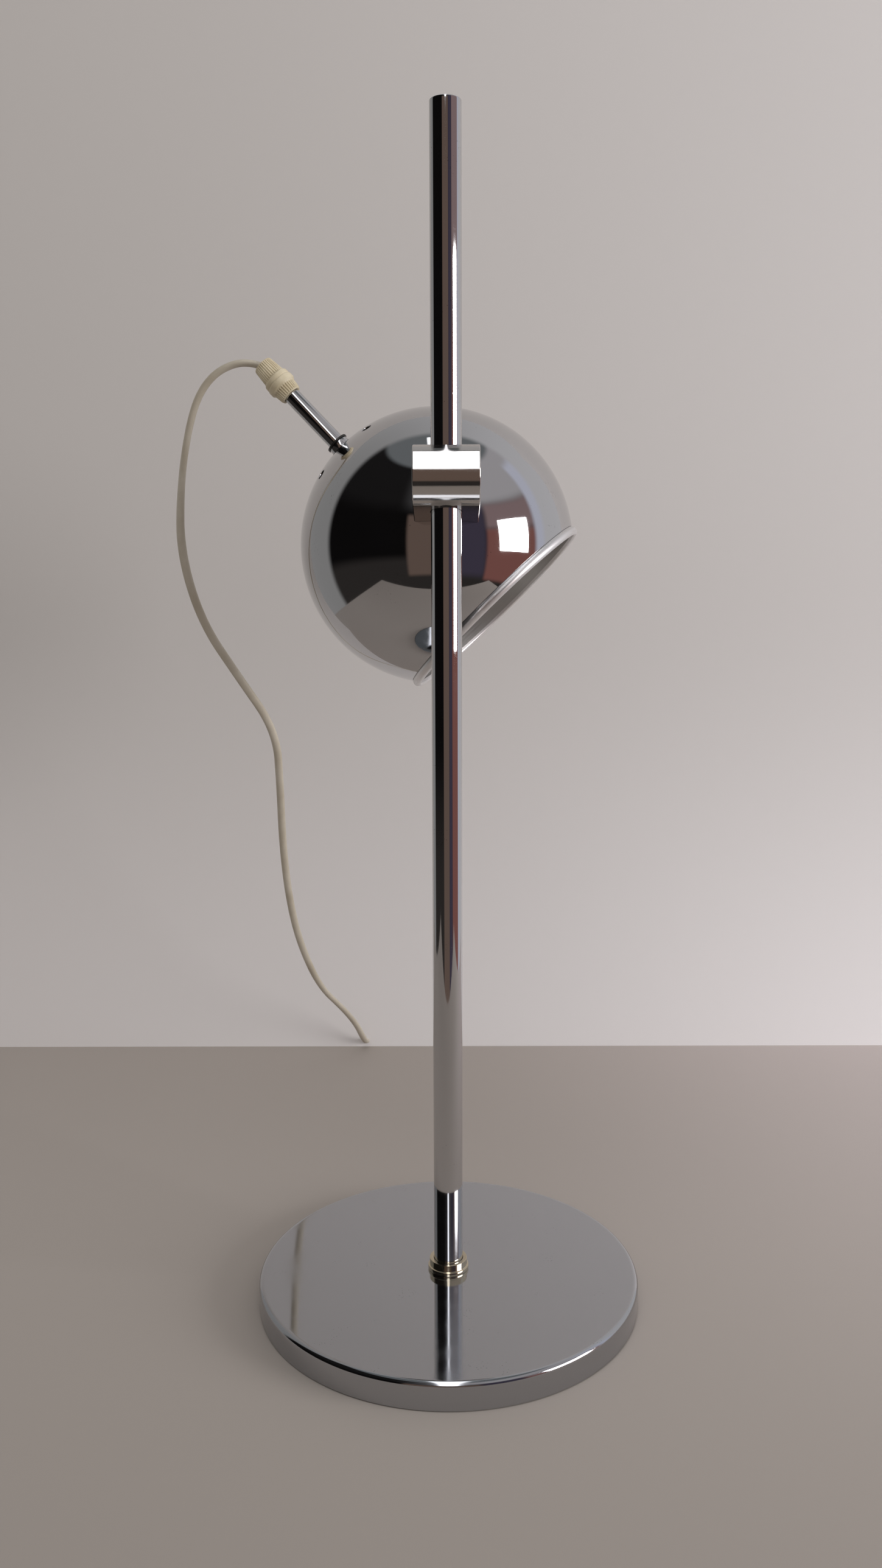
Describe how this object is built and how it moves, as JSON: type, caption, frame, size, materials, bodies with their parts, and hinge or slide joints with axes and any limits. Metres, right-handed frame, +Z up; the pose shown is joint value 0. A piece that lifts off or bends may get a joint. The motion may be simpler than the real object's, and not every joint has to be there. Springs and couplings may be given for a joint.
{
  "type": "desk lamp",
  "caption": "Eyeball table lamp: a chromed ball held by a magnet on a slider that moves up, down and round a pole on a round base, with flex, switch and plug.",
  "frame": {"origin": "middle of the felt's underside, below the pole", "axes": "+Z up the pole, +Y from the pole to the ball, +X to the right as the picture shows it"},
  "size_m": [0.2828, 0.6266, 0.628],
  "materials": {
    "chrome": "polished chrome plate on steel",
    "warm_nickel": "nickelled brass with a warm tint",
    "satin_steel": "satin nickel plate, drawn lengthways",
    "satin_aluminium": "spun and brushed",
    "dark_steel": "blackened",
    "zinc_steel": "zinc plated",
    "magnet_grey": null,
    "cast_iron": "raw casting",
    "felt": "pressed felt",
    "black_nylon": "nylon",
    "black_plastic": "phenolic",
    "porcelain": null,
    "brass": "bare brass",
    "bulb_metal": "bulb cap",
    "frosted_glass": "frosted",
    "ivory_plastic": "aged ivory plastic",
    "ivory_flex": "aged ivory flex",
    "rubber_sleeve": "soft rubber",
    "brown_wire": "core insulation",
    "blue_wire": "core insulation",
    "tie_plastic": "flat tie"
  },
  "bodies": {
    "base_and_pole": {"base_cover": "chrome", "base_weight": "cast_iron", "base_felt": "felt", "base_washer": "zinc_steel", "base_bolt": "zinc_steel", "pole_tube": "chrome", "pole_foot": "zinc_steel", "pole_cap": "chrome", "pole_collar": "warm_nickel", "cord_floor": "ivory_flex", "cord_link": "ivory_flex", "cord_coil": "ivory_flex", "cord_tail": "ivory_flex", "coil_tie": "tie_plastic", "switch_upper": "ivory_plastic", "switch_lower": "ivory_plastic", "switch_screws": "zinc_steel", "rocker_pin": "zinc_steel", "contact_blade": "brass", "plug_body": "ivory_plastic", "plug_pins": "brass"},
    "bush": {"slider_bush": "black_nylon", "bush_clip": "dark_steel", "cord_lower": "ivory_flex"},
    "slider": {"slider_housing": "satin_steel", "magnet_stud": "zinc_steel", "cord_middle": "ivory_flex"},
    "seat": {"magnet_cup": "dark_steel", "seat_magnet": "magnet_grey", "cord_upper": "ivory_flex"},
    "ball": {"ball_shell": "chrome", "mouth_ring": "satin_aluminium", "inner_reflector": "satin_aluminium", "handle_tube": "chrome", "tube_collar": "chrome", "tube_washer": "dark_steel", "inner_washer": "zinc_steel", "inner_nut": "zinc_steel", "grip_body": "ivory_plastic", "grip_cap": "ivory_plastic", "clamp_sleeve": "rubber_sleeve", "holder_cap": "black_plastic", "holder_shell": "black_plastic", "holder_core": "porcelain", "centre_contact": "brass", "holder_thread": "brass", "shade_ring": "black_plastic", "bulb_cap": "bulb_metal", "bulb_glass": "frosted_glass", "inner_flex": "ivory_flex", "live_wire": "brown_wire", "neutral_wire": "blue_wire", "cord_at_grip": "ivory_flex"},
    "rocker": {"switch_rocker": "ivory_plastic"}
  },
  "joints": [
    {"name": "slider_slide", "type": "slide", "parent": "base_and_pole", "child": "bush", "axis": [0, 0, 1], "range_m": [-0.2, 0.16], "deforming": ["cord_lower"]},
    {"name": "slider_swivel", "type": "hinge", "parent": "bush", "child": "slider", "pos_m": [0, 0, 0.4495], "axis": [0, 0, 1], "range_deg": [-120, 120], "deforming": ["cord_middle"]},
    {"name": "ball_turn", "type": "hinge", "parent": "slider", "child": "seat", "pos_m": [-0.0056, 0.0968, 0.4167], "axis": [-0.0547, 0.9457, -0.3204], "range_deg": [-35, 80], "deforming": ["cord_upper"]},
    {"name": "ball_tilt", "type": "hinge", "parent": "seat", "child": "ball", "pos_m": [-0.0056, 0.0968, 0.4167], "axis": [-0.7142, -0.2613, -0.6493], "range_deg": [-25, 22], "deforming": ["cord_at_grip"]},
    {"name": "rocker_tip", "type": "hinge", "parent": "base_and_pole", "child": "rocker", "pos_m": [0.005, 0.432, 0.0114], "axis": [0, 1, 0], "range_deg": [0, 14]}
  ]
}
